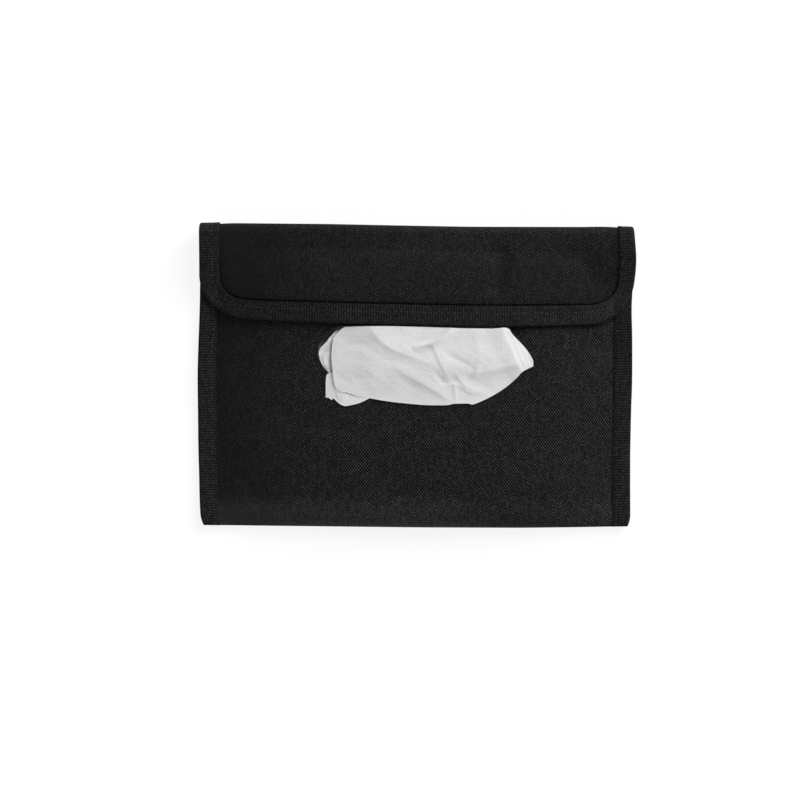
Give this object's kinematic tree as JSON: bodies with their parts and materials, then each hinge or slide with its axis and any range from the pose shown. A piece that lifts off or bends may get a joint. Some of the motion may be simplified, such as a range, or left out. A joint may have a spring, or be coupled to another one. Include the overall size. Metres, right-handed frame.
{
  "type": "car tissue holder",
  "caption": "Flat woven cloth pouch with taped edges and a flap; tissues are drawn out of a slot under the flap, and elastic bands on the back hold it to a sun visor.",
  "frame": {"origin": "under the middle of the pouch, on the surface it lies on", "axes": "+X across the pouch to the right, +Y up to the top fold where the flap turns, +Z out of the front"},
  "size_m": [0.24, 0.168, 0.0229],
  "materials": {
    "cloth": "heavy plain weave, matt black",
    "tape": "ribbed binding tape, black",
    "elastic": "knitted elastic, black",
    "hook_and_loop": "hook and loop pile, black",
    "thread": "sewing thread, black",
    "tissue": "soft white tissue paper"
  },
  "bodies": {
    "pouch": {"back_panel": "cloth", "front_panel": "cloth", "slot_facing": "cloth", "left_side_tape": "tape", "right_side_tape": "tape", "mouth_tape": "tape", "left_elastic_band": "elastic", "right_elastic_band": "elastic", "left_loop_patch": "hook_and_loop", "right_loop_patch": "hook_and_loop", "left_side_thread": "thread", "right_side_thread": "thread", "left_band_lower_tack": "thread", "left_band_upper_tack": "thread", "right_band_lower_tack": "thread", "right_band_upper_tack": "thread", "tissue_stack": "tissue", "next_tissue": "tissue"},
    "flap": {"flap_panel": "cloth", "flap_tape": "tape", "flap_tape_thread": "thread", "left_hook_patch": "hook_and_loop", "right_hook_patch": "hook_and_loop"},
    "tissue": {"drawn_tissue": "tissue"}
  },
  "joints": [
    {"name": "flap_hinge", "type": "hinge", "parent": "pouch", "child": "flap", "pos_m": [0, 0.0782, 0.0084], "axis": [-1, 0, 0], "range_deg": [0, 165]},
    {"name": "tissue_pull", "type": "slide", "parent": "pouch", "child": "tissue", "axis": [0, -1, 0], "range_m": [0, 0.02]}
  ]
}
